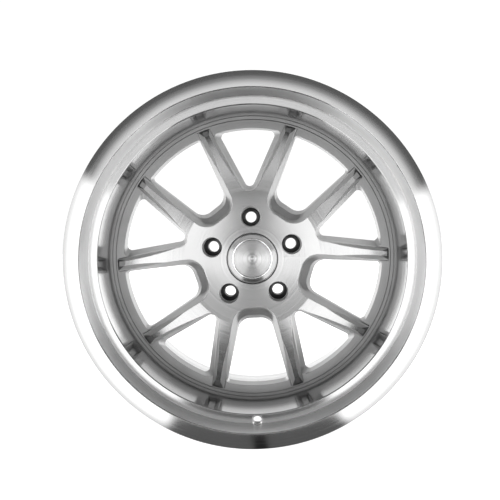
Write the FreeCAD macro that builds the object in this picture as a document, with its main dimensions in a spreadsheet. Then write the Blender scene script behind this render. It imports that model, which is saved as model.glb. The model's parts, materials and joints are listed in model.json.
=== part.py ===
import FreeCAD, Part
import math
import os
import re
import Sketcher

# A three-piece forged racing wheel, 18 x 9.5 J, with a ten-spoke centre and a push-in centre cap.
# The origin is the centre of the hub bore on the mounting pad. The wheel turns about Y, its street
# side faces -Y, and +Z is up. Depths in the sheet are measured from the lip plane, the outermost
# plane of the outer half, back towards the vehicle; radii are measured from the Y axis.

DIMENSIONS = {
    # mounting pad and hub
    "pad_depth": 123.0, "pad_radius": 82.0, "hub_bore_radius": 35.15, "hub_bore_front": 104.0,
    "cap_bore_radius": 31.5, "cap_seat_depth": 86.0, "cap_recess_radius": 36.8,
    "dish_radius": 44.0, "dish_depth": 80.7, "edge_break": 1.0,
    # machined face of the spokes
    "crest_radius": 98.0, "crest_depth": 76.5, "dish_bend": 344.0, "spoke_bend": 402.0,
    "spoke_end_radius": 194.6, "spoke_end_depth": 88.1, "spoke_end_bevel": 3.0,
    "spoke_end_foot": 198.0,
    "web_back_depth": 118.5, "pad_step_radius": 86.0,
    # flange ring of the centre
    "ring_inner_radius": 189.3, "ring_outer_radius": 202.0, "ring_depth": 97.0,
    "ring_back_depth": 120.0, "ring_back_inner": 186.3, "web_back_radius": 184.3, "pilot_radius": 207.4,
    "pilot_depth": 101.0,
    # window sections: lowest point, corner radius, half flat, half angle, outer radius, outer corner
    "front_plane": 70.0, "ledge_plane": 104.0, "rear_plane": 124.0,
    "clear_radius": 206.0, "clear_corner": 3.0,
    "vee_front_low": 96.3, "vee_front_corner": 14.1, "vee_front_angle": 28.0,
    "vee_ring_low": 99.6, "vee_ring_corner": 10.8, "vee_ring_angle": 28.0, "vee_ring_outer": 6.0,
    "vee_rear_low": 108.8, "vee_rear_corner": 6.4, "vee_rear_angle": 25.4, "vee_rear_outer": 6.3,
    "big_flat": 8.1, "big_front_low": 68.4, "big_front_corner": 26.0, "big_front_angle": 12.7,
    "big_ring_low": 75.6, "big_ring_corner": 18.8, "big_ring_angle": 12.7, "big_ring_outer": 5.5,
    "big_ledge_low": 85.6, "big_ledge_corner": 18.7, "big_ledge_angle": 13.1,
    "big_rear_low": 95.2, "big_rear_corner": 18.5, "big_rear_angle": 14.4, "big_rear_outer": 5.5,
    "window_rear_radius": 190.7, "ledge_outer_radius": 189.7,
    # bevels along the spoke edges: start and end radius, and width at the end
    "vee_bevel_start": 101.0, "vee_bevel_end": 190.0, "vee_bevel_width": 3.3,
    "big_bevel_start": 108.0, "big_bevel_end": 188.0, "big_bevel_width": 4.8,
    # lug pockets and their conical seats
    "lug_circle_radius": 60.325, "lug_pocket_radius": 14.3, "lug_pocket_depth": 97.0,
    "lug_seat_radius": 13.3, "lug_seat_depth": 119.0, "stud_hole_radius": 8.1,
    "lug_seat_rim": 1.0, "lug_cone_end": 106.4,
    # weight-saving pockets in the mounting pad
    "pad_pocket_radius": 10.0, "pad_pocket_circle": 60.0, "pad_pocket_floor": 111.0,
    # rim halves
    "flange_radius": 246.0, "flange_edge_depth": 7.0, "flange_back_depth": 9.2,
    "flange_back_radius": 245.6, "flange_face_bend": 69.0,
    "flange_inner_radius": 224.3, "flange_inner_depth": 3.5, "flange_roll": 9.65,
    "bead_plane": 12.35, "bead_wall_top": 236.3, "bead_radius": 228.4, "bead_heel": 2.6,
    "bead_toe_depth": 32.5, "bead_toe_radius": 226.9, "hump_depth": 35.0, "hump_radius": 227.8,
    "hump_end_depth": 38.5, "hump_end_radius": 226.6, "hump_bend": 7.0,
    "bead_bore_front": 223.8, "lip_corner_depth": 4.4,
    "step_depth": 29.0, "step_outer_radius": 219.9, "step_back_depth": 41.0,
    "step_back_outer": 223.2, "well_front_depth": 43.6, "well_front_radius": 210.4,
    "well_start_depth": 76.0, "well_radius": 211.8,
    "well_bore_radius": 207.5, "joint_depth": 125.0, "joint_inner_radius": 193.0, "plate": 5.0,
    "seal_width": 3.0, "seal_foot_radius": 209.4,
    "mirror_depth": 266.0, "well_end_depth": 163.0, "ramp_depth": 200.0, "ramp_radius": 224.0,
    "ramp_bore_depth": 202.0, "ramp_bore_radius": 219.4, "inner_hump_bore_depth": 226.0,
    "ramp_top_depth": 223.5, "well_bore_end": 165.0, "inner_bead_bore": 223.4, "inner_bead_depth": 247.65,
    # valve hole
    "valve_radius": 5.65, "valve_circle": 216.2, "valve_end_depth": 46.0, "valve_angle": 0.25,
    "valve_face_radius": 7.2, "valve_face_depth": 30.5, "valve_plane": 5.5,
    # rim screws, washers and thread inserts
    "screw_circle_radius": 200.0, "screw_radius": 2.95, "screw_length": 25.0, "screw_head_radius": 5.0,
    "screw_head_height": 6.0, "screw_key": 2.9, "screw_key_depth": 3.0, "screw_clearance": 3.3,
    "washer_radius": 5.9, "washer_bore": 3.2, "washer_thickness": 1.6,
    "insert_radius": 3.6, "insert_bore": 3.0, "insert_front": 107.0, "tapped_front": 104.0,
    # centre cap
    "cap_rim_radius": 36.2, "cap_rim_depth": 81.2, "cap_rim_round": 1.7, "cap_rim_top": 79.7,
    "cap_rim_inner": 34.7, "cap_slope_start": 29.4, "cap_slope_depth": 80.2, "cap_slope_radius": 34.2,
    "cap_top_depth": 79.2, "cap_floor_depth": 80.9, "disc_pocket_radius": 27.0,
    "cap_shell": 2.4, "cap_leg_radius": 31.2, "cap_leg_bore": 28.7, "cap_leg_end": 100.0,
    "cap_leg_lead": 1.0, "cap_slot": 3.0, "slot_inner": 26.7, "slot_outer": 33.2, "slot_plane": 101.0,
    "slot_root_depth": 86.5, "wire_radius": 0.8, "wire_depth": 95.0, "wire_gap_angle": 14.0,
    "groove_half": 0.9, "groove_mouth": 2.0, "groove_radius": 29.4,
    "bezel_radius": 29.0, "bezel_inner_radius": 27.0, "bezel_depth": 78.7, "bezel_crown": 1.15,
    "disc_radius": 26.8, "disc_depth": 79.2, "disc_thickness": 1.1, "pad_thickness": 0.6,
}

SPOKE_PAIRS = 5
SCREW_COUNT = 30
CAP_LEG_COUNT = 8

SHEET_NAMES = {alias: f"Dims.{alias}" for alias in DIMENSIONS}

doc = FreeCAD.newDocument("racing_wheel")
sheet = doc.addObject("Spreadsheet::Sheet", "Dims")
for row, (alias, size) in enumerate(DIMENSIONS.items(), start=1):
    sheet.set(f"A{row}", alias)
    sheet.set(f"B{row}", str(size))
    sheet.setAlias(f"B{row}", alias)
doc.recompute()


def bound(text):
    """An expression over the sheet from plain text such as "pad_depth - 1"."""
    return re.sub(r"[a-z_]+", lambda word: SHEET_NAMES.get(word.group(), word.group()), text)


def value(text):
    """The number that an expression over the sheet gives now."""
    answer = sheet.evalExpression(bound(text))
    return float(getattr(answer, "Value", answer))


def new_body(label):
    body = doc.addObject("PartDesign::Body", label)
    body.Label = label
    return body


def origin_feature(body, role):
    return next(item for item in body.Origin.OriginFeatures if item.Role == role)


def new_sketch(body, name, plane, offset=None, turn=0.0):
    """A sketch on one of the body's own planes, moved along the plane's normal by an expression
    and turned about it by an angle."""
    sketch = body.newObject("Sketcher::SketchObject", name)
    sketch.AttachmentSupport = (origin_feature(body, plane), "")
    sketch.MapMode = "FlatFace"
    about_normal = FreeCAD.Rotation(FreeCAD.Vector(0, 0, 1), turn)
    sketch.AttachmentOffset = FreeCAD.Placement(FreeCAD.Vector(), about_normal)
    if offset:
        sketch.setExpression("AttachmentOffset.Base.z", bound(offset))
    doc.recompute()
    return sketch


def bind(sketch, kind, *places, size):
    """Adds a dimension to a sketch and binds it to the sheet."""
    index = sketch.addConstraint(Sketcher.Constraint(kind, *places, value(size)))
    sketch.setExpression(f"Constraints[{index}]", bound(size))


def end_at(sketch, edge, spot):
    """1 or 2, the end of an edge that lies at a spot."""
    near = (sketch.getPoint(edge, 1) - spot).Length < (sketch.getPoint(edge, 2) - spot).Length
    return 1 if near else 2


def arc_through(start, end, radius):
    """An arc from start to end; a positive radius bulges to the right of the way from start to end."""
    chord = end - start
    half = chord.Length / 2
    side = FreeCAD.Vector(chord.y, -chord.x, 0).normalize() * math.copysign(1, radius)
    rise = abs(radius) - math.sqrt(radius * radius - half * half)
    return Part.Arc(start, (start + end) / 2 + side * rise, end)


def profile(body, name, corners):
    """A closed half section, with radii along X and the wheel's axis along Y. Each corner is
    (depth, radius) or (depth, radius, bend), where bend is the radius of the arc that leads to the
    next corner, positive where it bulges to the right of the way there."""
    sketch = new_sketch(body, name, "XY_Plane")
    spots = [FreeCAD.Vector(value(c[1]), value(f"{c[0]} - pad_depth"), 0) for c in corners]
    for index, corner in enumerate(corners):
        start, end = spots[index], spots[(index + 1) % len(spots)]
        edge = Part.LineSegment(start, end)
        if len(corner) > 2:
            edge = arc_through(start, end, value(corner[2]))
        sketch.addGeometry(edge, False)
    for index, corner in enumerate(corners):
        before = index - 1 if index else len(corners) - 1
        here = (index, end_at(sketch, index, spots[index]))
        sketch.addConstraint(
            Sketcher.Constraint("Coincident", before, end_at(sketch, before, spots[index]), *here)
        )
        bind(sketch, "DistanceX", -1, 1, *here, size=corner[1])
        bind(sketch, "DistanceY", -1, 1, *here, size=f"{corner[0]} - pad_depth")
        if len(corner) > 2:
            bind(sketch, "Radius", index, size=corner[2].lstrip("-"))
    return sketch


def revolve(body, sketch, name, angle=360.0):
    """Turns a section about the Y axis."""
    turned = body.newObject("PartDesign::Revolution", name)
    turned.Profile = sketch
    turned.ReferenceAxis = (sketch, ["V_Axis"])
    turned.Angle = angle
    doc.recompute()
    return turned


def pattern(body, features, name, count):
    """Repeats features around the Y axis, and makes the result the body's tip."""
    repeat = body.newObject("PartDesign::PolarPattern", name)
    repeat.Originals = features
    repeat.Axis = (origin_feature(body, "Y_Axis"), [""])
    repeat.Angle = 360.0
    repeat.Occurrences = count
    body.Tip = repeat
    doc.recompute()
    return repeat


def circle_sketch(body, name, depth, across, up, radius):
    """A circle at (across, up) in a plane square to the wheel's axis."""
    sketch = new_sketch(body, name, "XZ_Plane", f"pad_depth - ({depth})")
    centre = FreeCAD.Vector(value(across), value(up), 0)
    sketch.addGeometry(Part.Circle(centre, FreeCAD.Vector(0, 0, 1), value(radius)), False)
    bind(sketch, "DistanceX", -1, 1, 0, 3, size=across)
    bind(sketch, "DistanceY", -1, 1, 0, 3, size=up)
    bind(sketch, "Radius", 0, size=radius)
    return sketch


def pocket(body, sketch, name, length, from_behind=False):
    """Cuts a sketch inwards from its plane, and fails if nothing is removed."""
    before = body.Shape.Volume
    cut = body.newObject("PartDesign::Pocket", name)
    cut.Profile = sketch
    cut.Length = value(length)
    cut.setExpression("Length", bound(length))
    cut.Reversed = from_behind
    doc.recompute()
    if body.Shape.Volume >= before:
        raise RuntimeError(f"{name} removed nothing")
    return cut


def window(body, name, depth, section, outer, outer_corner, flat=None, turn=0.0):
    """One section of a spoke window, symmetric about +Z before its turn: two straight sides that
    spread at the half angle, rounded into an outer arc about the wheel's axis and, at the hub end,
    into one round apex, or with a flat, into two corners beside a straight edge."""
    low, corner, angle = f"{section}_low", f"{section}_corner", f"{section}_angle"
    sketch = new_sketch(body, f"{name}_section", "XZ_Plane", f"pad_depth - {depth}", turn)
    lean = math.radians(value(angle))
    along = FreeCAD.Vector(math.sin(lean), math.cos(lean), 0)
    outward = FreeCAD.Vector(math.cos(lean), -math.sin(lean), 0)
    up = FreeCAD.Vector(0, 0, 1)
    half_flat = value(flat) if flat else 0.0
    hub_corner, rim_corner, rim = value(corner), value(outer_corner), value(outer)
    low_centre = FreeCAD.Vector(half_flat, value(low) + hub_corner, 0)
    side_start = low_centre + outward * hub_corner
    inside = side_start - outward * rim_corner
    reach = inside.dot(along)
    run = math.sqrt(reach * reach - inside.dot(inside) + (rim - rim_corner) ** 2) - reach
    side_end = side_start + along * run
    high_centre = inside + along * run
    turn = math.atan2(high_centre.y, high_centre.x)

    def mirrored(spot):
        return FreeCAD.Vector(-spot.x, spot.y, 0)

    def arc(centre, radius, first, last):
        return Part.ArcOfCircle(Part.Circle(centre, up, radius), first, last)

    middle = FreeCAD.Vector(0, 0, 0)
    edges = [
        Part.LineSegment(side_start, side_end),
        arc(high_centre, rim_corner, -lean, turn),
        arc(middle, rim, turn, math.pi - turn),
        arc(mirrored(high_centre), rim_corner, math.pi - turn, math.pi + lean),
        Part.LineSegment(mirrored(side_end), mirrored(side_start)),
    ]
    right_corner = len(edges)
    if flat:
        left_spot, right_spot = (FreeCAD.Vector(s * half_flat, value(low), 0) for s in (-1, 1))
        edges.append(arc(mirrored(low_centre), hub_corner, math.pi + lean, 1.5 * math.pi))
        edges.append(Part.LineSegment(left_spot, right_spot))
        right_corner = len(edges)
        edges.append(arc(low_centre, hub_corner, 1.5 * math.pi, 2 * math.pi - lean))
    else:
        edges.append(arc(low_centre, hub_corner, math.pi + lean, 2 * math.pi - lean))
    sketch.addGeometry(edges, False)
    for index in range(len(edges)):
        following = (index + 1) % len(edges)
        sketch.addConstraint(Sketcher.Constraint("Tangent", index, 2, following, 1))
    sketch.addConstraint(Sketcher.Constraint("Coincident", 2, 3, -1, 1))
    sketch.addConstraint(Sketcher.Constraint("Equal", 1, 3))
    sketch.addConstraint(Sketcher.Constraint("Equal", 0, 4))
    bind(sketch, "Radius", 2, size=outer)
    bind(sketch, "Radius", 1, size=outer_corner)
    bind(sketch, "Radius", right_corner, size=corner)
    bind(sketch, "DistanceY", -1, 1, right_corner, 3, size=f"{low} + {corner}")
    steep = sketch.addConstraint(Sketcher.Constraint("Angle", 0, math.pi / 2 - lean))
    sketch.setExpression(f"Constraints[{steep}]", f"(90 - {bound(angle)}) * 1 deg")
    if flat:
        sketch.addConstraint(Sketcher.Constraint("Equal", right_corner, 5))
        sketch.addConstraint(Sketcher.Constraint("Horizontal", 6))
        bind(sketch, "DistanceX", -1, 1, right_corner, 3, size=flat)
        bind(sketch, "DistanceX", 5, 3, -1, 1, size=flat)
    else:
        sketch.addConstraint(Sketcher.Constraint("PointOnObject", right_corner, 3, -2))
    return sketch


def cut_between(body, sections, name):
    """Cuts the ruled solid that joins the sections, and fails if nothing is removed."""
    before = body.Shape.Volume
    cut = body.newObject("PartDesign::SubtractiveLoft", name)
    cut.Profile = sections[0]
    cut.Sections = sections[1:]
    cut.Ruled = True
    doc.recompute()
    if body.Shape.Volume >= before:
        raise RuntimeError(f"{name} removed nothing")
    return cut


def face_depth(radius):
    """Depth of the machined spoke face at a radius outside its crest."""
    crest, bend = value("crest_radius"), value("spoke_bend")
    return value("crest_depth") + bend - math.sqrt(bend * bend - (radius - crest) ** 2)


def bevel(body, name, kind, hand, turn):
    """Planes off one long edge of a spoke. The bevel starts at nothing by the hub and widens
    outwards. hand is +1 or -1 for the side of the window, turn is where the window stands."""
    lean = math.radians(value(f"{kind}_front_angle"))
    flat = value("big_flat") if kind == "big" else 0.0
    face_share = 0.6
    corner = value(f"{kind}_front_corner * (1 - {face_share}) + {kind}_ring_corner * {face_share}")
    centre_up = value(f"{kind}_front_low + {kind}_front_corner")
    width = value(f"{kind}_bevel_width")
    along = FreeCAD.Vector(hand * math.sin(lean), 0, math.cos(lean))
    outward = FreeCAD.Vector(hand * math.cos(lean), 0, -math.sin(lean))
    side = FreeCAD.Vector(hand * flat, 0, centre_up) + outward * corner

    def on_side(radius):
        reach = side.dot(along)
        return side + along * (math.sqrt(reach * reach - side.dot(side) + radius * radius) - reach)

    def at_depth(spot, depth):
        return FreeCAD.Vector(spot.x, depth - value("pad_depth"), spot.z)

    first = on_side(value(f"{kind}_bevel_start"))
    last = on_side(value(f"{kind}_bevel_end"))
    top = last + outward * width
    low_first = at_depth(first, face_depth(first.Length))
    low_last = at_depth(last, face_depth(last.Length) + width)
    high_last = at_depth(top, face_depth(top.Length))
    x_way = (low_last - low_first).normalize()
    z_way = x_way.cross(high_last - low_first).normalize()
    if z_way.y > 0:
        z_way = z_way * -1
    y_way = z_way.cross(x_way)
    toward_spoke = 1 if y_way.dot(outward) > 0 else -1
    spoke_side, window_side, overrun = 10.0, 1.2, 1.3
    length = (low_last - low_first).Length * overrun
    sketch = new_sketch(body, f"{name}_section", "XY_Plane")
    place = FreeCAD.Placement(low_first, FreeCAD.Rotation(x_way, y_way, z_way, "ZXY"))
    about_wheel = FreeCAD.Placement(FreeCAD.Vector(), FreeCAD.Rotation(FreeCAD.Vector(0, 1, 0), turn))
    sketch.AttachmentOffset = about_wheel.multiply(place)
    near, far = -window_side * toward_spoke, spoke_side * toward_spoke
    spots = [FreeCAD.Vector(x, y, 0) for x, y in ((0, near), (length, near), (length, far), (0, far))]
    sketch.addGeometry([Part.LineSegment(a, b) for a, b in zip(spots, spots[1:] + spots[:1])], False)
    doc.recompute()
    return pocket(body, sketch, name, f"{spoke_side}", from_behind=True)


def forged_centre():
    """Hub, spokes and flange ring: turned, milled through the windows, then drilled."""
    body = new_body("forged_centre")
    section = profile(body, "centre_section", [
        ("pad_depth", "hub_bore_radius"),
        ("hub_bore_front", "hub_bore_radius"),
        ("hub_bore_front", "cap_bore_radius"),
        ("cap_seat_depth", "cap_bore_radius"),
        ("cap_seat_depth", "cap_recess_radius"),
        ("dish_depth + edge_break / 2", "cap_recess_radius"),
        ("dish_depth", "cap_recess_radius + edge_break / 2"),
        ("dish_depth", "dish_radius", "-dish_bend"),
        ("crest_depth", "crest_radius", "spoke_bend"),
        ("spoke_end_depth", "spoke_end_radius"),
        ("spoke_end_depth + spoke_end_bevel", "spoke_end_radius + spoke_end_bevel"),
        ("ring_depth", "spoke_end_foot"),
        ("ring_depth", "ring_outer_radius - edge_break"),
        ("ring_depth + edge_break", "ring_outer_radius"),
        ("pilot_depth", "ring_outer_radius"),
        ("pilot_depth", "pilot_radius"),
        ("ring_back_depth", "pilot_radius"),
        ("ring_back_depth", "ring_back_inner"),
        ("web_back_depth", "web_back_radius"),
        ("web_back_depth", "pad_step_radius"),
        ("pad_depth", "pad_radius"),
    ])
    revolve(body, section, "centre_turned")
    half_turn = 180.0
    vee_front = window(body, "vee_front", "front_plane", "vee_front", "clear_radius", "clear_corner")
    vee_face = window(body, "vee_face", "ring_depth", "vee_ring", "clear_radius", "clear_corner")
    vee_ring = window(body, "vee_ring", "ring_depth", "vee_ring", "ring_inner_radius", "vee_ring_outer")
    vee_rear = window(body, "vee_rear", "rear_plane", "vee_rear", "window_rear_radius", "vee_rear_outer")
    big_front = window(body, "big_front", "front_plane", "big_front", "clear_radius", "clear_corner",
                       "big_flat", half_turn)
    big_face = window(body, "big_face", "ring_depth", "big_ring", "clear_radius", "clear_corner",
                      "big_flat", half_turn)
    big_ring = window(body, "big_ring", "ring_depth", "big_ring", "ring_inner_radius",
                      "big_ring_outer", "big_flat", half_turn)
    big_ledge = window(body, "big_ledge", "ledge_plane", "big_ledge", "ledge_outer_radius",
                       "big_ring_outer", "big_flat", half_turn)
    big_rear = window(body, "big_rear", "rear_plane", "big_rear", "window_rear_radius",
                      "big_rear_outer", "big_flat", half_turn)
    cuts = [
        cut_between(body, [vee_front, vee_face], "vee_face_cut"),
        cut_between(body, [vee_ring, vee_rear], "vee_window_cut"),
        cut_between(body, [big_front, big_face], "big_face_cut"),
        cut_between(body, [big_ring, big_ledge, big_rear], "big_window_cut"),
    ]
    for hand, side in ((1, "right"), (-1, "left")):
        cuts.append(bevel(body, f"vee_bevel_{side}", "vee", hand, 0.0))
        cuts.append(bevel(body, f"big_bevel_{side}", "big", hand, half_turn))
    lug_bores = [
        ("lug_pocket", "front_plane", "lug_pocket_radius", "lug_pocket_depth - front_plane"),
        ("lug_seat_bore", "front_plane", "lug_seat_radius", "lug_seat_depth - front_plane"),
        ("stud_hole", "front_plane", "stud_hole_radius", "pad_depth - front_plane"),
    ]
    for name, start, radius, length in lug_bores:
        sketch = circle_sketch(body, f"{name}_circle", start, "0", "lug_circle_radius", radius)
        cuts.append(pocket(body, sketch, name, length))
    sketch = circle_sketch(body, "pad_pocket_circle_sketch", "pad_depth", "0", "-pad_pocket_circle",
                           "pad_pocket_radius")
    cuts.append(pocket(body, sketch, "pad_pocket", "pad_depth - pad_pocket_floor", from_behind=True))
    pattern(body, cuts, "five_around", SPOKE_PAIRS)
    sketch = circle_sketch(body, "tapped_circle", "ring_back_depth", "0", "screw_circle_radius",
                           "insert_radius")
    tapped = pocket(body, sketch, "tapped_hole", "ring_back_depth - tapped_front", from_behind=True)
    pattern(body, [tapped], "tapped_holes", SCREW_COUNT)


def flange_and_bead(sign, base):
    """The flange and bead seat from the flange's inner edge to the end of the hump, for the outer
    half (sign "") or, mirrored, for the inner half (sign "-", with the overall width as base)."""
    def across(text):
        return f"{base} - ({text})" if sign else text

    bend = "" if sign else "-"
    against = "-" if sign else ""
    return [
        (across("flange_inner_depth"), "flange_inner_radius", f"{against}flange_face_bend"),
        (across("flange_edge_depth"), "flange_radius"),
        (across("flange_back_depth"), "flange_back_radius", f"{against}flange_roll"),
        (across("bead_plane"), "bead_wall_top"),
        (across("bead_plane"), "bead_radius + bead_heel", f"{bend}bead_heel"),
        (across("bead_plane + bead_heel"), "bead_radius"),
        (across("bead_toe_depth"), "bead_toe_radius"),
        (across("hump_depth"), "hump_radius", f"{against}hump_bend"),
        (across("hump_end_depth"), "hump_end_radius"),
    ]


def outer_rim_half():
    """The stepped lip: flange, bead seat, step face with the valve hole, and well."""
    body = new_body("outer_rim_half")
    section = profile(body, "outer_section", flange_and_bead("", "") + [
        ("step_back_depth", "step_back_outer"),
        ("well_front_depth", "well_front_radius"),
        ("well_start_depth", "well_radius"),
        ("joint_depth - seal_width", "well_radius"),
        ("joint_depth", "seal_foot_radius"),
        ("joint_depth", "joint_inner_radius"),
        ("joint_depth - plate", "joint_inner_radius"),
        ("joint_depth - plate", "well_bore_radius"),
        ("step_depth + edge_break", "well_bore_radius"),
        ("step_depth", "well_bore_radius + edge_break"),
        ("step_depth", "step_outer_radius"),
        ("lip_corner_depth", "bead_bore_front"),
    ])
    revolve(body, section, "outer_turned")
    across = "-valve_circle * sin(valve_angle * 1 deg)"
    up = "-valve_circle * cos(valve_angle * 1 deg)"
    face = circle_sketch(body, "valve_face_circle", "valve_plane", across, up, "valve_face_radius")
    pocket(body, face, "valve_face", "valve_face_depth - valve_plane")
    hole = circle_sketch(body, "valve_circle_sketch", "valve_plane", across, up, "valve_radius")
    pocket(body, hole, "valve_hole", "valve_end_depth - valve_plane")
    screw = circle_sketch(body, "outer_screw_circle", "joint_depth - plate", "0",
                          "screw_circle_radius", "screw_clearance")
    drilled = pocket(body, screw, "outer_screw_hole", "plate")
    pattern(body, [drilled], "outer_screw_holes", SCREW_COUNT)


def inner_rim_half():
    """The drop-centre barrel: bolting flange, well, ramp, bead seat and inboard flange."""
    body = new_body("inner_rim_half")
    bead = flange_and_bead("-", "mirror_depth")
    section = profile(body, "inner_section", bead + [
        ("ramp_top_depth", "ramp_radius"),
        ("ramp_depth", "ramp_radius"),
        ("well_end_depth", "well_radius"),
        ("joint_depth + seal_width", "well_radius"),
        ("joint_depth", "seal_foot_radius"),
        ("joint_depth", "joint_inner_radius"),
        ("joint_depth + plate", "joint_inner_radius"),
        ("joint_depth + plate", "well_bore_radius"),
        ("well_bore_end", "well_bore_radius"),
        ("ramp_bore_depth", "ramp_bore_radius"),
        ("inner_hump_bore_depth", "ramp_bore_radius"),
        ("inner_bead_depth", "inner_bead_bore"),
    ])
    revolve(body, section, "inner_turned")
    screw = circle_sketch(body, "inner_screw_circle", "joint_depth", "0",
                          "screw_circle_radius", "screw_clearance")
    drilled = pocket(body, screw, "inner_screw_hole", "plate")
    pattern(body, [drilled], "inner_screw_holes", SCREW_COUNT)


def rim_seal_ring():
    """Sealant that fills the V groove between the rim halves, slightly proud of the well."""
    body = new_body("rim_seal_ring")
    section = profile(body, "seal_section", [
        ("joint_depth", "seal_foot_radius"),
        ("joint_depth - seal_width", "well_radius", "6"),
        ("joint_depth + seal_width", "well_radius"),
    ])
    revolve(body, section, "seal_bead")


def washer_like(label, front, back, radius, bore):
    """A ring on the screw circle, repeated for every screw as separate solids."""
    body = new_body(label)
    disc = body.newObject("PartDesign::Pad", f"{label}_disc")
    sketch = circle_sketch(body, f"{label}_section", back, "0", "screw_circle_radius", radius)
    sketch.addGeometry(
        Part.Circle(sketch.Geometry[0].Center, FreeCAD.Vector(0, 0, 1), value(bore)), False
    )
    sketch.addConstraint(Sketcher.Constraint("Coincident", 0, 3, 1, 3))
    bind(sketch, "Radius", 1, size=bore)
    disc.Profile = sketch
    disc.setExpression("Length", bound(f"{back} - ({front})"))
    doc.recompute()
    pattern(body, [disc], f"{label}_around", SCREW_COUNT)


def rim_bolts():
    """Hexagon-socket cap screws from behind, through both rim flanges into the centre."""
    body = new_body("rim_bolts")
    head_front = "joint_depth + plate + washer_thickness"
    sketch = circle_sketch(body, "shank_section", head_front, "0", "screw_circle_radius",
                           "screw_radius")
    shank = body.newObject("PartDesign::Pad", "shank")
    shank.Profile = sketch
    shank.setExpression("Length", bound("screw_length"))
    sketch = circle_sketch(body, "head_section", f"{head_front} + screw_head_height", "0",
                           "screw_circle_radius", "screw_head_radius")
    cap = body.newObject("PartDesign::Pad", "head")
    cap.Profile = sketch
    cap.setExpression("Length", bound("screw_head_height"))
    doc.recompute()
    sketch = new_sketch(body, "key_section", "XZ_Plane",
                        f"pad_depth - ({head_front} + screw_head_height)")
    centre = FreeCAD.Vector(0, value("screw_circle_radius"), 0)
    reach = FreeCAD.Vector(value("screw_key"), 0, 0)
    sixth = FreeCAD.Rotation(FreeCAD.Vector(0, 0, 1), 60)
    corners = [centre + reach]
    for _ in range(5):
        reach = sixth.multVec(reach)
        corners.append(centre + reach)
    sides = [Part.LineSegment(a, b) for a, b in zip(corners, corners[1:] + corners[:1])]
    sketch.addGeometry(sides, False)
    sketch.addGeometry(Part.Circle(centre, FreeCAD.Vector(0, 0, 1), value("screw_key")), True)
    guide = len(sides)
    for index in range(len(sides)):
        following = (index + 1) % len(sides)
        sketch.addConstraint(Sketcher.Constraint("Coincident", index, 2, following, 1))
        sketch.addConstraint(Sketcher.Constraint("PointOnObject", index, 1, guide))
        if index:
            sketch.addConstraint(Sketcher.Constraint("Equal", 0, index))
    bind(sketch, "Radius", guide, size="screw_key")
    bind(sketch, "DistanceX", -1, 1, guide, 3, size="0")
    bind(sketch, "DistanceY", -1, 1, guide, 3, size="screw_circle_radius")
    bind(sketch, "DistanceY", -1, 1, 0, 1, size="screw_circle_radius")
    key = pocket(body, sketch, "key_socket", "screw_key_depth", from_behind=True)
    pattern(body, [shank, cap, key], "bolts_around", SCREW_COUNT)


def lug_seat(number):
    """A steel seat for one lug nut: a bush with a 60 degree cone, pressed into its lug pocket."""
    body = new_body(f"lug_seat_{number}")
    turn = 360.0 / SPOKE_PAIRS * (number - 1) - 90.0
    body.Placement.Rotation = FreeCAD.Rotation(FreeCAD.Vector(0, 1, 0), turn)
    section = profile(body, f"seat_section_{number}", [
        ("lug_pocket_depth", "lug_circle_radius + lug_seat_radius"),
        ("lug_pocket_depth", "lug_circle_radius + lug_seat_radius - lug_seat_rim"),
        ("lug_cone_end", "lug_circle_radius + stud_hole_radius"),
        ("lug_seat_depth", "lug_circle_radius + stud_hole_radius"),
        ("lug_seat_depth", "lug_circle_radius + lug_seat_radius"),
    ])
    foot = FreeCAD.Vector(value("lug_circle_radius"), 0, 0)
    axis = section.addGeometry(Part.LineSegment(foot, foot + FreeCAD.Vector(0, -20, 0)), True)
    section.addConstraint(Sketcher.Constraint("Vertical", axis))
    bind(section, "DistanceX", -1, 1, axis, 1, size="lug_circle_radius")
    turned = body.newObject("PartDesign::Revolution", f"seat_turned_{number}")
    turned.Profile = section
    turned.ReferenceAxis = (section, ["Axis0"])
    turned.Angle = 360.0
    doc.recompute()


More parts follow.
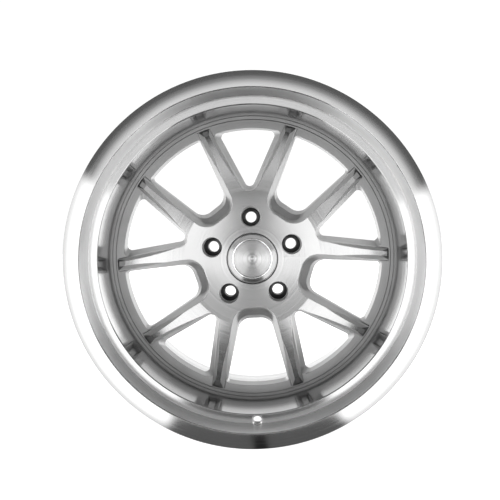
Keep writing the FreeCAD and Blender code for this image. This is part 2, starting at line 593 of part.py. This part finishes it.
def cap_housing():
    """The cap's moulded body: rim on the centre's seat, sloped shoulder, and snap legs."""
    body = new_body("cap_housing")
    section = profile(body, "housing_section", [
        ("cap_floor_depth", "0"),
        ("cap_floor_depth", "disc_pocket_radius"),
        ("cap_top_depth", "disc_pocket_radius"),
        ("cap_top_depth", "cap_slope_start"),
        ("cap_slope_depth", "cap_slope_radius"),
        ("cap_rim_top", "cap_rim_inner", "cap_rim_round"),
        ("cap_rim_depth", "cap_rim_radius"),
        ("cap_seat_depth", "cap_rim_radius"),
        ("cap_seat_depth", "cap_leg_radius"),
        ("cap_leg_end - cap_leg_lead", "cap_leg_radius"),
        ("cap_leg_end", "cap_leg_radius - cap_leg_lead"),
        ("cap_leg_end", "cap_leg_bore"),
        ("wire_depth + groove_mouth", "cap_leg_bore"),
        ("wire_depth + groove_half", "groove_radius"),
        ("wire_depth - groove_half", "groove_radius"),
        ("wire_depth - groove_mouth", "cap_leg_bore"),
        ("cap_floor_depth + cap_shell", "cap_leg_bore"),
        ("cap_floor_depth + cap_shell", "0"),
    ])
    revolve(body, section, "housing_moulded")
    sketch = new_sketch(body, "slot_section", "XZ_Plane", "pad_depth - slot_plane")
    half, inner, outer = value("cap_slot / 2"), value("slot_inner"), value("slot_outer")
    spots = [FreeCAD.Vector(x, z, 0) for x, z in
             ((-half, inner), (half, inner), (half, outer), (-half, outer))]
    sketch.addGeometry([Part.LineSegment(a, b) for a, b in zip(spots, spots[1:] + spots[:1])], False)
    for index in range(4):
        sketch.addConstraint(Sketcher.Constraint("Coincident", index, 2, (index + 1) % 4, 1))
    for index in (0, 2):
        sketch.addConstraint(Sketcher.Constraint("Horizontal", index))
        sketch.addConstraint(Sketcher.Constraint("Vertical", index + 1))
    bind(sketch, "DistanceX", -1, 1, 0, 1, size="-cap_slot / 2")
    bind(sketch, "DistanceX", -1, 1, 0, 2, size="cap_slot / 2")
    bind(sketch, "DistanceY", -1, 1, 0, 1, size="slot_inner")
    bind(sketch, "DistanceY", -1, 1, 2, 1, size="slot_outer")
    slot = pocket(body, sketch, "leg_slot", "slot_plane - slot_root_depth", from_behind=True)
    pattern(body, [slot], "leg_slots", CAP_LEG_COUNT)


def cap_spring_ring():
    """A split wire ring in the groove behind the cap's legs."""
    body = new_body("cap_spring_ring")
    sketch = new_sketch(body, "wire_section", "XY_Plane")
    away = FreeCAD.Vector(value("groove_radius - wire_radius"), value("wire_depth - pad_depth"), 0)
    sketch.addGeometry(Part.Circle(away, FreeCAD.Vector(0, 0, 1), value("wire_radius")), False)
    bind(sketch, "DistanceX", -1, 1, 0, 3, size="groove_radius - wire_radius")
    bind(sketch, "DistanceY", -1, 1, 0, 3, size="wire_depth - pad_depth")
    bind(sketch, "Radius", 0, size="wire_radius")
    revolve(body, sketch, "wire", 360.0 - value("wire_gap_angle"))


def cap_bezel():
    """The bright ring around the cap's disc."""
    body = new_body("cap_bezel")
    section = profile(body, "bezel_section", [
        ("cap_top_depth", "bezel_inner_radius"),
        ("bezel_depth", "bezel_inner_radius", "bezel_crown"),
        ("bezel_depth", "bezel_radius"),
        ("cap_top_depth", "bezel_radius"),
    ])
    revolve(body, section, "bezel_turned")


def disc(label, front, thickness, radius):
    """A plain round plate on the wheel's axis."""
    body = new_body(label)
    sketch = circle_sketch(body, f"{label}_section", f"{front} + {thickness}", "0", "0", radius)
    plate = body.newObject("PartDesign::Pad", f"{label}_plate")
    plate.Profile = sketch
    plate.setExpression("Length", bound(thickness))
    doc.recompute()


forged_centre()
outer_rim_half()
inner_rim_half()
rim_seal_ring()
rim_bolts()
washer_like("rim_bolt_washers", "joint_depth + plate", "joint_depth + plate + washer_thickness",
            "washer_radius", "washer_bore")
washer_like("rim_thread_inserts", "insert_front", "ring_back_depth", "insert_radius", "insert_bore")
for seat_number in range(1, SPOKE_PAIRS + 1):
    lug_seat(seat_number)
cap_housing()
cap_spring_ring()
cap_bezel()
disc("cap_disc", "disc_depth", "disc_thickness", "disc_radius")
disc("cap_disc_adhesive", "disc_depth + disc_thickness", "pad_thickness", "disc_radius - 1")
doc.recompute()

for item in doc.Objects:
    if {"Invalid", "Error"} & set(item.State):
        raise RuntimeError(f"{item.Name} did not recompute: {item.State}")
bodies = [item for item in doc.Objects if item.isDerivedFrom("PartDesign::Body")]
for body in bodies:
    if body.Shape.isNull() or not body.Shape.isValid():
        raise RuntimeError(f"{body.Label} has no valid shape")
os.makedirs("parts", exist_ok=True)
for body in bodies:
    body.Shape.exportStep(f"parts/{body.Label}.step")
    print(body.Label, len(body.Shape.Solids), round(body.Shape.Volume / 1000.0, 1), "cm3")
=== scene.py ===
"""Looks of a three-piece forged racing wheel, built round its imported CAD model."""

import json
import math

import bmesh
import bpy
from mathutils import Matrix, Vector


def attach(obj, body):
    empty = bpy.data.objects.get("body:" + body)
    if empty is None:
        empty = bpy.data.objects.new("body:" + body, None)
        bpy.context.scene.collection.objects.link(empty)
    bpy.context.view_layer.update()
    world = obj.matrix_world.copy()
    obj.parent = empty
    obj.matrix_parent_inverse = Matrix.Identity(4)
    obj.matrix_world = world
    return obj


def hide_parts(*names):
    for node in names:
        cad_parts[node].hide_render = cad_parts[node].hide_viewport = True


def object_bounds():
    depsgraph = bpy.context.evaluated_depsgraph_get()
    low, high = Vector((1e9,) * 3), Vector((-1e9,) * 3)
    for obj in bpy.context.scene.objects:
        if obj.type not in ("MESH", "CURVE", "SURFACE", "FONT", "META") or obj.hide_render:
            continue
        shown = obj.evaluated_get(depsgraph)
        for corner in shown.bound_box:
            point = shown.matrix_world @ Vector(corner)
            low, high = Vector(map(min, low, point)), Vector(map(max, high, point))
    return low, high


MM = 0.001
EDGE_ROUNDING = 0.9 * MM

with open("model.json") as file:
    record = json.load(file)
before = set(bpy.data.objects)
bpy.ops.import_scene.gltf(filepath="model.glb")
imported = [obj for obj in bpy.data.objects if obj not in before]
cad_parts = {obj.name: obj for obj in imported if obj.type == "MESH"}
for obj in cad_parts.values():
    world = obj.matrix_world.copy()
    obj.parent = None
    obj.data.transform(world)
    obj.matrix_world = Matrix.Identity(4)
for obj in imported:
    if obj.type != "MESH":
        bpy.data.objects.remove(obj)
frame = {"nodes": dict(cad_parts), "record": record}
cad_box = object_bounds()
nodes = frame["nodes"]

# ---------------------------------------------------------------- shader building


class Shader:
    """A material under construction: one Principled BSDF and short calls that add nodes to it."""

    def __init__(self, name, **sockets):
        self.material = bpy.data.materials.new(name)
        self.material.use_nodes = True
        self.nodes = self.material.node_tree.nodes
        self.links = self.material.node_tree.links
        self.bsdf = self.nodes["Principled BSDF"]
        for socket, size in sockets.items():
            self.bsdf.inputs[socket.replace("_", " ")].default_value = size
        self.place = self.nodes.new("ShaderNodeTexCoord").outputs["Object"]
        rounding = self.nodes.new("ShaderNodeBevel")
        rounding.samples = 4
        rounding.inputs["Radius"].default_value = EDGE_ROUNDING
        self.edges = rounding.outputs[0]

    def node(self, kind, *inputs, **settings):
        """Adds a node. Inputs are sockets, numbers or None, in the node's own order."""
        made = self.nodes.new(f"ShaderNode{kind}")
        for key, setting in settings.items():
            setattr(made, key, setting)
        for index, source in enumerate(inputs):
            self.feed(made.inputs[index], source)
        return made

    def feed(self, socket, source):
        """Links a socket, sets a number, or leaves None alone."""
        if isinstance(source, bpy.types.NodeSocket):
            self.links.new(source, socket)
        elif source is not None:
            socket.default_value = source

    def math(self, operation, *inputs, clamp=False):
        return self.node("Math", *inputs, operation=operation, use_clamp=clamp).outputs[0]

    def vector(self, operation, *inputs):
        made = self.node("VectorMath", *inputs, operation=operation)
        return made.outputs["Value"] if operation in ("LENGTH", "DOT_PRODUCT") else made.outputs[0]

    def span(self, source, low, high, out_low=0.0, out_high=1.0, smooth=False):
        """Maps low..high to out_low..out_high, clamped."""
        made = self.nodes.new("ShaderNodeMapRange")
        made.interpolation_type = "SMOOTHSTEP" if smooth else "LINEAR"
        for index, item in enumerate((source, low, high, out_low, out_high)):
            self.feed(made.inputs[index], item)
        return made.outputs[0]

    def vary(self, noise, amount):
        """Spreads the middle of a noise over -amount..amount."""
        return self.span(noise, 0.3, 0.7, -amount, amount)

    def noise(self, where, scale, detail=2.0, roughness=0.5):
        made = self.node("TexNoise", where)
        made.inputs["Scale"].default_value = scale
        made.inputs["Detail"].default_value = detail
        made.inputs["Roughness"].default_value = roughness
        return made.outputs[0]

    def mix(self, share, first, second):
        """A colour between two colours."""
        made = self.nodes.new("ShaderNodeMix")
        made.data_type = "RGBA"
        self.feed(made.inputs[0], share)
        self.feed(made.inputs[6], first)
        self.feed(made.inputs[7], second)
        return made.outputs[2]

    def grey(self, level):
        """A neutral colour from a number."""
        made = self.node("CombineColor", level, level, level)
        return made.outputs[0]

    def bump(self, height, distance):
        """Fine relief over softened edges."""
        made = self.nodes.new("ShaderNodeBump")
        made.inputs["Strength"].default_value = 1.0
        made.inputs["Distance"].default_value = distance
        self.links.new(height, made.inputs["Height"])
        self.links.new(self.edges, made.inputs["Normal"])
        self.links.new(made.outputs[0], self.bsdf.inputs["Normal"])

    def wheel_axes(self):
        """Distance from the wheel's axis, and the direction of a turning tool's grooves."""
        away = self.vector("MULTIPLY", self.place, (1.0, 0.0, 1.0))
        groove = self.vector("NORMALIZE", self.vector("CROSS_PRODUCT", away, (0.0, 1.0, 0.0)))
        return self.vector("LENGTH", away), groove

    def ring_space(self, radius, stretch):
        """A space that only changes with radius and depth, and a little round the wheel."""
        depth = self.node("SeparateXYZ", self.place).outputs[1]
        drift = self.vector("SCALE", self.place, None)
        drift.node.inputs["Scale"].default_value = stretch
        rings = self.node("CombineXYZ", radius, depth, 0.0).outputs[0]
        return self.vector("ADD", rings, drift)

    def set(self, socket, source):
        """Feeds a socket of the Principled BSDF."""
        self.feed(self.bsdf.inputs[socket], source)


def turned_metal(name, base, roughness, anisotropy, streak=0.04, groove_height=0.004):
    """Metal faced on a lathe: fine rings that stretch highlights away from the wheel's axis."""
    made = Shader(name, Metallic=1.0, Anisotropic=anisotropy, Anisotropic_Rotation=0.25)
    radius, groove = made.wheel_axes()
    made.set("Tangent", groove)
    rings = made.ring_space(radius, 0.003)
    coarse = made.noise(rings, 420.0, 3.0)
    fine = made.noise(rings, 3600.0, 1.0)
    cloud = made.noise(made.place, 14.0, 2.0)
    tone = made.math("ADD", made.vary(coarse, streak), base)
    tone = made.math("ADD", tone, made.vary(cloud, 0.015))
    made.set("Base Color", made.grey(tone))
    rough = made.math("ADD", made.vary(coarse, 0.03), roughness)
    made.set("Roughness", rough)
    made.bump(fine, groove_height * MM)
    return made.material


def painted_metal(name, base, roughness, metallic=0.9):
    """Satin silver paint with fine flake and a slight orange peel."""
    made = Shader(name, Metallic=metallic, Coat_Weight=0.25, Coat_Roughness=0.25)
    flake = made.noise(made.place, 3500.0, 1.0)
    peel = made.noise(made.place, 420.0, 2.0)
    cloud = made.noise(made.place, 22.0, 2.0)
    tone = made.math("ADD", made.vary(flake, 0.05), base)
    tone = made.math("ADD", tone, made.vary(cloud, 0.02))
    made.set("Base Color", made.grey(tone))
    made.set("Roughness", made.math("ADD", made.vary(flake, 0.05), roughness))
    made.bump(peel, 0.02 * MM)
    return made.material


def plain_steel(name, base, roughness):
    """Bare or plated steel with a fine grain."""
    made = Shader(name, Metallic=1.0)
    grain = made.noise(made.place, 900.0, 3.0)
    made.set("Base Color", made.grey(made.math("ADD", made.vary(grain, 0.03), base)))
    made.set("Roughness", made.math("ADD", made.vary(grain, 0.06), roughness))
    made.bump(grain, 0.01 * MM)
    return made.material


def soft_rubber(name, base, roughness):
    """Matt rubber or sealant with a coarser grain."""
    made = Shader(name, Metallic=0.0)
    grain = made.noise(made.place, 700.0, 3.0)
    made.set("Base Color", made.grey(made.math("ADD", made.vary(grain, 0.02), base)))
    made.set("Roughness", made.math("ADD", made.vary(grain, 0.06), roughness))
    made.bump(grain, 0.05 * MM)
    return made.material


FINISHES = {
    "machined_alloy": turned_metal("machined_alloy", 0.35, 0.19, 0.88, streak=0.02, groove_height=0.0015),
    "satin_alloy": painted_metal("satin_alloy", 0.30, 0.42, metallic=0.55),
    "brushed_alloy": turned_metal("brushed_alloy", 0.85, 0.50, 0.3),
    # Satin paint lightened as painted light on the spoke bevels.
    "bevel_painted_light": painted_metal("bevel_painted_light", 0.58, 0.50, metallic=0.6),
    # Satin paint darkened as painted shade on the centre's ring.
    "ring_painted_shade": painted_metal("ring_painted_shade", 0.25, 0.36),
    "polished_alloy": turned_metal("polished_alloy", 0.43, 0.135, 0.9, streak=0.012, groove_height=0.001),
    "barrel_alloy": turned_metal("barrel_alloy", 0.96, 0.45, 0.5),
    "sealant": soft_rubber("sealant", 0.30, 0.5),
    "screw_steel": plain_steel("screw_steel", 0.34, 0.35),
    "insert_steel": plain_steel("insert_steel", 0.55, 0.35),
    # Nearly black, as dark as the insides of the lug bores look.
    "seat_steel": plain_steel("seat_steel", 0.02, 0.45),
    "cap_silver": turned_metal("cap_silver", 0.28, 0.20, 0.85),
    "spring_steel": plain_steel("spring_steel", 0.60, 0.25),
    "bright_ring": plain_steel("bright_ring", 0.90, 0.08),
    "spun_alloy": turned_metal("spun_alloy", 0.33, 0.18, 0.9, groove_height=0.001),
    "bonding_pad": soft_rubber("bonding_pad", 0.06, 0.7),
}
for row in frame["record"]["subparts"]:
    node = nodes[row["node"]]
    node.data.materials.clear()
    node.data.materials.append(FINISHES[row["material_slot"]])

# ---------------------------------------------------------------- lathe-turned pieces

PAD_DEPTH = 123.0
ROUND_STEP = math.radians(4.0)
SOFT_EDGE = 0.45
SMOOTH_TURN = math.radians(15.0)
TURN_SEGMENTS = 480
WELD_GAP = 1e-7


def arc_points(start, end, bend):
    """Points after start and before end on an arc; positive bend bulges to the right of the way."""
    chord = end - start
    half = chord.length / 2
    side = Vector((chord.y, -chord.x)).normalized() * math.copysign(1.0, bend)
    reach = math.sqrt(bend * bend - half * half)
    centre = (start + end) / 2 - side * reach
    sweep = 2 * math.asin(half / abs(bend))
    steps = max(2, math.ceil(sweep / ROUND_STEP))
    turn = math.copysign(sweep, bend)
    ray = start - centre
    return [centre + Matrix.Rotation(turn * k / steps, 2) @ ray for k in range(1, steps)]


def outline(corners):
    """(radius, y) points in metres of a closed section given as (depth, radius[, bend]) in mm."""
    spots = [Vector((c[1], c[0] - PAD_DEPTH)) for c in corners]
    line = []
    for index, corner in enumerate(corners):
        following = spots[(index + 1) % len(spots)]
        line.append(spots[index])
        if len(corner) > 2:
            line += arc_points(spots[index], following, corner[2])
    soft = []
    for index, spot in enumerate(line):
        before = line[index - 1] - spot
        after = line[(index + 1) % len(line)] - spot
        if math.pi - before.angle(after) < SMOOTH_TURN:
            soft.append(spot)
            continue
        start = spot + before.normalized() * min(SOFT_EDGE, before.length / 2.2)
        end = spot + after.normalized() * min(SOFT_EDGE, after.length / 2.2)
        for share in (0.0, 0.25, 0.5, 0.75, 1.0):
            soft.append(start.lerp(spot, share).lerp(spot.lerp(end, share), share))
    return [spot * MM for spot in soft]


def lathe(name, corners):
    """A turned piece with softened edges."""
    line = outline(corners)
    mesh = bpy.data.meshes.new(name)
    ring = [math.tau * k / TURN_SEGMENTS for k in range(TURN_SEGMENTS)]
    verts = [(x * math.cos(a), y, x * math.sin(a)) for a in ring for x, y in line]
    count = len(line)
    faces = []
    for k in range(TURN_SEGMENTS):
        first = k * count
        second = (k + 1) % TURN_SEGMENTS * count
        for i in range(count):
            j = (i + 1) % count
            faces.append((first + i, first + j, second + j, second + i))
    mesh.from_pydata(verts, [], faces)
    mesh.update()
    made = bpy.data.objects.new(name, mesh)
    bpy.context.scene.collection.objects.link(made)
    return made


def finish_piece(made, body, node, slot):
    """Outward faces, smooth shading with flats kept flat, one material, and its CAD node and body."""
    clean = bmesh.new()
    clean.from_mesh(made.data)
    bmesh.ops.remove_doubles(clean, verts=clean.verts, dist=WELD_GAP)
    bmesh.ops.recalc_face_normals(clean, faces=clean.faces)
    for face in clean.faces:
        face.smooth = True
    clean.to_mesh(made.data)
    clean.free()
    if not made.data.materials:
        made.data.materials.append(FINISHES[slot])
    flat = made.modifiers.new("flats", "WEIGHTED_NORMAL")
    flat.mode = "FACE_AREA"
    flat.keep_sharp = True
    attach(made, body)
    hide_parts(node)


BEAD = [
    (3.5, 224.3, 69.0), (7.0, 246.0), (9.2, 245.6, 9.65), (12.35, 236.3), (12.35, 231.0, -2.6),
    (14.95, 228.4), (32.5, 226.9), (35.0, 227.8, 7.0), (38.5, 226.6),
]
BAND_INNER = 219.8
BAND_OUTER = 223.7
BAND_END = 28.7
VALVE_CIRCLE = 216.2
VALVE_ANGLE = math.radians(0.25)
VALVE_RADIUS = 5.65
VALVE_FACE_RADIUS = 7.2
VALVE_FACE_DEPTH = 30.5
VALVE_END_DEPTH = 46.0


def drill(made, radius, first_depth, last_depth):
    """Cuts a round hole, parallel to the axis, where the tyre valve stands."""
    middle = Vector((-VALVE_CIRCLE * math.sin(VALVE_ANGLE), (first_depth + last_depth) / 2 - PAD_DEPTH,
                     -VALVE_CIRCLE * math.cos(VALVE_ANGLE))) * MM
    bpy.ops.mesh.primitive_cylinder_add(vertices=64, radius=radius * MM, location=middle,
                                        depth=(last_depth - first_depth) * MM,
                                        rotation=(math.radians(90), 0, 0))
    tool = bpy.context.object
    cut = made.modifiers.new("cut", "BOOLEAN")
    cut.operation = "DIFFERENCE"
    cut.object = tool
    cut.solver = "EXACT"
    scene_now = bpy.context.evaluated_depsgraph_get()
    made.data = bpy.data.meshes.new_from_object(made.evaluated_get(scene_now))
    made.modifiers.clear()
    bpy.data.objects.remove(tool)


def outer_rim():
    """The stepped lip with its drilled, spot-faced valve hole and brushed band."""
    made = lathe("stepped_lip", BEAD + [
        (41.0, 223.2), (43.6, 210.4), (76.0, 211.8), (122.0, 211.8), (125.0, 209.4), (125.0, 193.0),
        (120.0, 193.0), (120.0, 207.5), (30.0, 207.5), (29.0, 208.5), (29.0, 219.9), (4.4, 223.8),
    ])
    drill(made, VALVE_FACE_RADIUS, 2.0, VALVE_FACE_DEPTH)
    drill(made, VALVE_RADIUS, VALVE_FACE_DEPTH - 1.0, VALVE_END_DEPTH)
    finish_piece(made, "wheel", "outer_rim_half", "polished_alloy")
    made.data.materials.append(FINISHES["brushed_alloy"])
    for polygon in made.data.polygons:
        middle = polygon.center / MM
        far = math.hypot(middle.x, middle.z)
        depth = middle.y + PAD_DEPTH
        if BAND_INNER < far < BAND_OUTER and depth < BAND_END:
            polygon.material_index = 1


outer_rim()

# ---------------------------------------------------------------- forged centre: turned front, satin sides, lightened satin as painted light on the bevels, darkened satin as painted shade on the ring

FACE_GAP = 0.5
BEVEL_DROP = 8.0
RING_START = 184.0
BEVEL_START = 99.0
HUB_RADIUS = 44.0
HUB_HEIGHT = -42.3
CREST_RADIUS = 98.0
HUB_CURVE = 344.0
SPOKE_CURVE = 402.0
SPOKE_CENTRE = 355.5


def face_depth(radius):
    """Height along the axis of the turned spoke face, in mm, for a radius in mm."""
    if radius < HUB_RADIUS:
        return HUB_HEIGHT
    if radius < CREST_RADIUS:
        return HUB_HEIGHT - HUB_CURVE + math.sqrt(HUB_CURVE ** 2 - (radius - HUB_RADIUS) ** 2)
    return SPOKE_CENTRE - math.sqrt(SPOKE_CURVE ** 2 - (radius - CREST_RADIUS) ** 2)


def finish_of(mesh, polygon):
    """Which material a face of the centre has: its turned front, its edge bevels in satin lightened as
    painted light, its ring in satin darkened as painted shade, and otherwise its satin sides.
    """
    spots = [mesh.vertices[index].co / MM for index in polygon.vertices]
    reach = [math.hypot(spot.x, spot.z) for spot in spots]
    drops = [spot.y - face_depth(far) for spot, far in zip(spots, reach)]
    if polygon.normal.y < -0.1 and min(reach) < RING_START and min(drops) > -FACE_GAP:
        if max(drops) < FACE_GAP and polygon.normal.y < -0.5:
            return "machined_alloy"
        # Bevels get satin lightened as painted light.
        if max(drops) < BEVEL_DROP and min(reach) > BEVEL_START:
            return "bevel_painted_light"
    # The ring gets satin darkened as painted shade; the remaining sides get plain satin.
    return "ring_painted_shade" if min(reach) > RING_START and polygon.normal.y < 0 else "satin_alloy"


def finished_centre():
    """The CAD centre again, with a material for each kind of face; the bevels and the ring carry satin
    lightened and darkened as painted light and shade.
    """
    source = nodes["forged_centre"]
    made = bpy.data.objects.new("two_finish_centre", source.data.copy())
    bpy.context.scene.collection.objects.link(made)
    made.matrix_world = source.matrix_world
    made.data.materials.clear()
    finishes = ["machined_alloy", "satin_alloy", "bevel_painted_light", "ring_painted_shade"]
    for slot in finishes:
        made.data.materials.append(FINISHES[slot])
    for polygon in made.data.polygons:
        polygon.material_index = finishes.index(finish_of(made.data, polygon))
    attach(made, "wheel")
    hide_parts("forged_centre")


finished_centre()

# ---------------------------------------------------------------- floor, light and camera

FLOOR_SIZE = 12.0
FLOOR_GLOW = 0.75
LAMP_SPOT = (0, 0.2, 2.6)
LAMP_TARGET = (0, 0.2, -0.3)
LAMP_SIZE = 4.0
LAMP_RADIANCE = 0.9

bpy.ops.mesh.primitive_plane_add(size=FLOOR_SIZE, location=(0, 0, cad_box[0].z))
floor = bpy.context.object
floor.name = "floor"
pale = Shader("pale_floor", Roughness=0.9, Emission_Strength=FLOOR_GLOW)
pale.set("Base Color", (0.93, 0.93, 0.93, 1.0))
pale.set("Emission Color", (1.0, 1.0, 1.0, 1.0))
floor.data.materials.append(pale.material)

world = bpy.data.worlds.new("studio")
bpy.context.scene.world = world
world.use_nodes = True
world.node_tree.nodes.clear()


class Surround(Shader):
    """The studio around the wheel, seen only in reflections and as soft light."""

    def __init__(self, tree):
        self.nodes = tree.nodes
        self.links = tree.links

    def background(self, colour, strength=1.0):
        made = self.node("Background")
        self.feed(made.inputs[0], colour)
        self.feed(made.inputs[1], strength)
        return made.outputs[0]


SIDE_GLOW = 2.85
DIM = 0.20
TOP_GLOW = 1.60
CORE_GLOW = 1.20
LOW_CORE_SHARE = 0.4
GAP_SHARE = 0.9
BACKDROP = 1.0
BACKGROUND_SEEN = 1.05
CENTRE_ACROSS = -0.027
CENTRE_HEIGHT = -0.074
NEAREST_AHEAD = 0.02
NEAREST_ACROSS = 0.001
LEFT_TO_RIGHT = (-0.02, 0.02)
TOP_SLOPES = (0.532, 0.354)
LOW_SLOPES = (-1.80, -1.96)

room = Surround(world.node_tree)
way = room.node("TexCoord").outputs["Generated"]
across, along, height = room.node("SeparateXYZ", way).outputs[:3]
ahead = room.math("MAXIMUM", room.math("MULTIPLY", along, -1.0), NEAREST_AHEAD)
right_of = room.math("SUBTRACT", room.math("DIVIDE", across, ahead), CENTRE_ACROSS)
above = room.math("SUBTRACT", room.math("DIVIDE", height, ahead), CENTRE_HEIGHT)
sideways = room.math("MAXIMUM", room.math("ABSOLUTE", right_of), NEAREST_ACROSS)
slope = room.math("DIVIDE", above, sideways)
reach = room.vector("LENGTH", room.node("CombineXYZ", right_of, above, 0.0).outputs[0])


def within(source, start, full):
    """Rises softly from 0 at start to 1 at full, or falls where full is the smaller."""
    return room.span(source, start, full, smooth=True)


def times(first, *others):
    """The product of all."""
    for other in others:
        first = room.math("MULTIPLY", first, other)
    return first


def plus(first, *others):
    """The sum of all."""
    for other in others:
        first = room.math("ADD", first, other)
    return first


def rest_of(share):
    """What a share leaves of 1."""
    return room.math("SUBTRACT", 1.0, share)


# slopes are tangents of the angle above level; reach is the tangent of the angle off the centre
top_edge = room.math("SUBTRACT", slope, room.span(right_of, *LEFT_TO_RIGHT, *TOP_SLOPES))
low_edge = room.math("SUBTRACT", slope, room.span(right_of, *LEFT_TO_RIGHT, *LOW_SLOPES))
under_top = within(top_edge, 0.05, -0.05)
over_low = within(low_edge, -0.15, 0.15)
far_fade = room.span(reach, 0.75, 1.5, 1.0, 0.42)
near_fade = room.span(reach, 0.20, 0.31, 0.80, 1.0, smooth=True)
sides = times(under_top, over_low, within(reach, 0.0, 0.03), far_fade, near_fade)
upper = times(rest_of(under_top), within(reach, 0.90, 0.30), within(reach, 0.22, 0.29))
core_ring = times(within(reach, 0.19, 0.14), within(reach, 0.05, 0.11))
low_core = times(rest_of(over_low), within(reach, 0.12, 0.06))
core = plus(core_ring, times(low_core, LOW_CORE_SHARE))
stand = times(within(slope, -20.0, -35.0), room.span(reach, 0.1, 0.2))
boom = times(within(slope, 12.0, 20.0), room.span(reach, 0.30, 0.24))
gaps = times(plus(stand, boom), GAP_SHARE)
behind = within(along, 0.55, 0.80)
glow = plus(times(rest_of(gaps), DIM), times(sides, SIDE_GLOW), times(upper, TOP_GLOW),
            times(core, CORE_GLOW), times(behind, BACKDROP))
seen = room.node("LightPath").outputs["Is Camera Ray"]
share = room.nodes.new("ShaderNodeMixShader")
room.feed(share.inputs[0], seen)
room.feed(share.inputs[1], room.background(room.grey(glow)))
room.feed(share.inputs[2], room.background((1.0, 1.0, 1.0, 1.0), BACKGROUND_SEEN))
room.feed(room.nodes.new("ShaderNodeOutputWorld").inputs[0], share.outputs[0])


def softbox(name, spot, target, width, depth, radiance):
    """A flat light of even brightness, unseen by the camera."""
    light = bpy.data.lights.new(name, "AREA")
    light.shape = "RECTANGLE"
    light.size = width
    light.size_y = depth
    light.energy = radiance * math.pi * width * depth
    lamp = bpy.data.objects.new(name, light)
    bpy.context.scene.collection.objects.link(lamp)
    lamp.location = spot
    lamp.rotation_mode = "QUATERNION"
    lamp.rotation_quaternion = (Vector(target) - Vector(spot)).to_track_quat("-Z", "Y")
    lamp.visible_camera = False
    return lamp


floor_light = softbox("floor_light", LAMP_SPOT, LAMP_TARGET, LAMP_SIZE, LAMP_SIZE, LAMP_RADIANCE)
floor_light.visible_glossy = False
floor.visible_glossy = False

EYE = Vector((18.50, -779.15, 50.55)) * MM
TARGET = Vector((3.71, -123.0, 22.63)) * MM
ROLL_UP = Vector((0.0417, 0.0, 0.9991))
lens = bpy.data.cameras.new("camera")
lens.lens = 37.01
lens.shift_x = -0.00615
lens.shift_y = -0.00938
lens.sensor_width = 36.0
lens.clip_start = 0.01
camera = bpy.data.objects.new("camera", lens)
bpy.context.scene.collection.objects.link(camera)
forward = (TARGET - EYE).normalized()
right = forward.cross(ROLL_UP).normalized()
up = right.cross(forward)
camera.matrix_world = Matrix.LocRotScale(EYE, Matrix((right, up, -forward)).transposed(), None)
bpy.context.scene.camera = camera
bpy.context.scene.view_settings.view_transform = "Standard"
